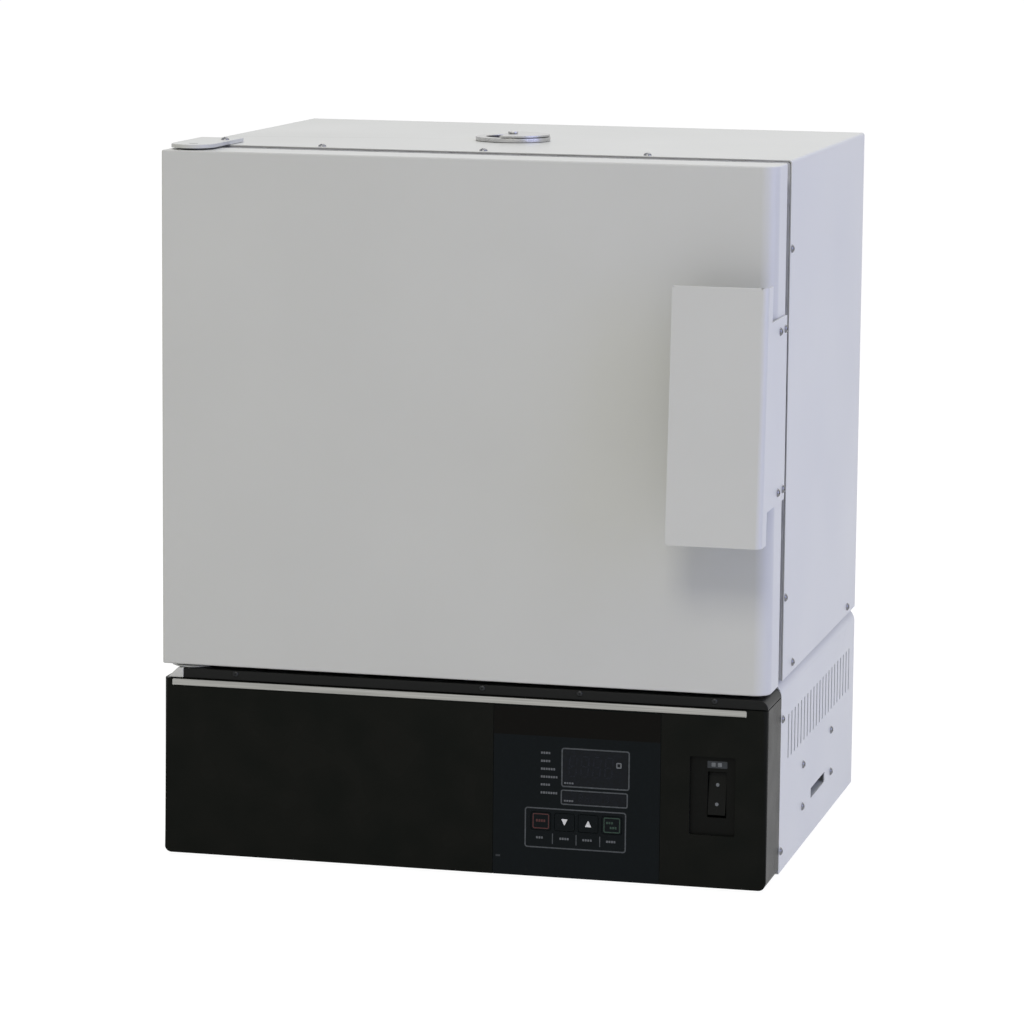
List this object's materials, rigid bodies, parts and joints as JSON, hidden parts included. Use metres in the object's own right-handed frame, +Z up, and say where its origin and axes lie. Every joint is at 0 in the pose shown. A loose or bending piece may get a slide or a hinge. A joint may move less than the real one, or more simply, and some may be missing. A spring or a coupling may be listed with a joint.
{
  "type": "laboratory drying oven",
  "caption": "Bench-top laboratory drying oven with a hinged front door, angled sheet handle, black control base with display and keys, roof exhaust damper and wire shelves.",
  "frame": {"origin": "centre of the part's footprint on the bench, at the height of the feet's soles", "axes": "+Z up, -Y towards the user who opens the door, +X to the user's right, the handle side"},
  "size_m": [0.5336, 0.508, 0.6226],
  "materials": {
    "paint": "smooth semi-gloss light grey powder coat",
    "black": "glossy black moulding",
    "charcoal": "satin dark grey paint",
    "membrane": "matt blue-black printed film",
    "aluminium": "satin extruded aluminium",
    "stainless": "brushed stainless sheet and wire",
    "zinc": "zinc-plated folded sheet",
    "steel": "bare dark steel",
    "wool": "matt mineral wool",
    "fibre": "braided glass fibre",
    "ceramic": "unglazed white ceramic",
    "rubber": "matt black rubber",
    "board": "green circuit board"
  },
  "bodies": {
    "cabinet": {"cabinet_wrapper": "paint", "cabinet_rear_panel": "paint", "base_side_cover_left": "paint", "base_side_cover_right": "paint", "base_rear_cover": "paint", "upper_hinge_plate": "paint", "lower_hinge_block": "paint", "lower_hinge_leaf": "paint", "front_bezel": "black", "breaker_body": "black", "front_rail": "charcoal", "control_panel": "membrane", "trim_strip": "aluminium", "relay_heat_sink": "aluminium", "chamber_liner": "stainless", "exhaust_duct": "stainless", "exhaust_ring": "stainless", "heater_cover": "stainless", "control_probe": "stainless", "overheat_probe": "stainless", "shelf_rail_left": "stainless", "shelf_rail_right": "stainless", "base_chassis": "zinc", "base_top_plate": "zinc", "base_support_left": "zinc", "base_support_right": "zinc", "carry_grip_left": "zinc", "carry_grip_right": "zinc", "front_frame": "zinc", "cabinet_floor": "zinc", "heater_element": "steel", "lower_hinge_pin": "steel", "upper_hinge_pin": "steel", "mains_transformer": "steel", "chamber_insulation": "wool", "heater_terminals": "ceramic", "foot_front_left": "rubber", "foot_front_right": "rubber", "foot_rear_left": "rubber", "foot_rear_right": "rubber", "cord_gland": "rubber", "door_magnet": "rubber", "controller_board": "board"},
    "door": {"door_shell": "paint", "door_insulation": "wool", "door_back_panel": "charcoal", "door_inner_pan": "stainless", "door_gasket": "fibre", "door_handle": "paint", "upper_hinge_bush": "steel", "lower_hinge_bush": "steel"},
    "shelf_lower": {"shelf_lower": "stainless"},
    "shelf_upper": {"shelf_upper": "stainless"},
    "exhaust_damper": {"exhaust_damper": "stainless"},
    "breaker_rocker": {"breaker_rocker": "black"},
    "key_stop": {"key_stop": "membrane"},
    "key_down": {"key_down": "membrane"},
    "key_up": {"key_up": "membrane"},
    "key_run": {"key_run": "membrane"}
  },
  "joints": [
    {"name": "door_hinge", "type": "hinge", "parent": "cabinet", "child": "door", "pos_m": [-0.24525, -0.174, 0.39], "axis": [0, 0, -1], "range_deg": [0, 120]},
    {"name": "damper_turn", "type": "hinge", "parent": "cabinet", "child": "exhaust_damper", "pos_m": [-0.01155, 0.015, 0.6197], "axis": [0, 0, 1], "range_deg": [0, 180]},
    {"name": "breaker_toggle", "type": "hinge", "parent": "cabinet", "child": "breaker_rocker", "pos_m": [0.22165, -0.1872, 0.0836], "axis": [1, 0, 0], "range_deg": [0, 20]},
    {"name": "key_stop_press", "type": "slide", "parent": "cabinet", "child": "key_stop", "axis": [0, 1, 0], "range_m": [0, 0.0005], "stiffness_N_per_m": 500},
    {"name": "key_down_press", "type": "slide", "parent": "cabinet", "child": "key_down", "axis": [0, 1, 0], "range_m": [0, 0.0005], "stiffness_N_per_m": 500},
    {"name": "key_up_press", "type": "slide", "parent": "cabinet", "child": "key_up", "axis": [0, 1, 0], "range_m": [0, 0.0005], "stiffness_N_per_m": 500},
    {"name": "key_run_press", "type": "slide", "parent": "cabinet", "child": "key_run", "axis": [0, 1, 0], "range_m": [0, 0.0005], "stiffness_N_per_m": 500},
    {"name": "shelf_lower_slide", "type": "slide", "parent": "cabinet", "child": "shelf_lower", "axis": [0, -1, 0], "range_m": [0, 0.03]},
    {"name": "shelf_upper_slide", "type": "slide", "parent": "cabinet", "child": "shelf_upper", "axis": [0, -1, 0], "range_m": [0, 0.03]}
  ]
}
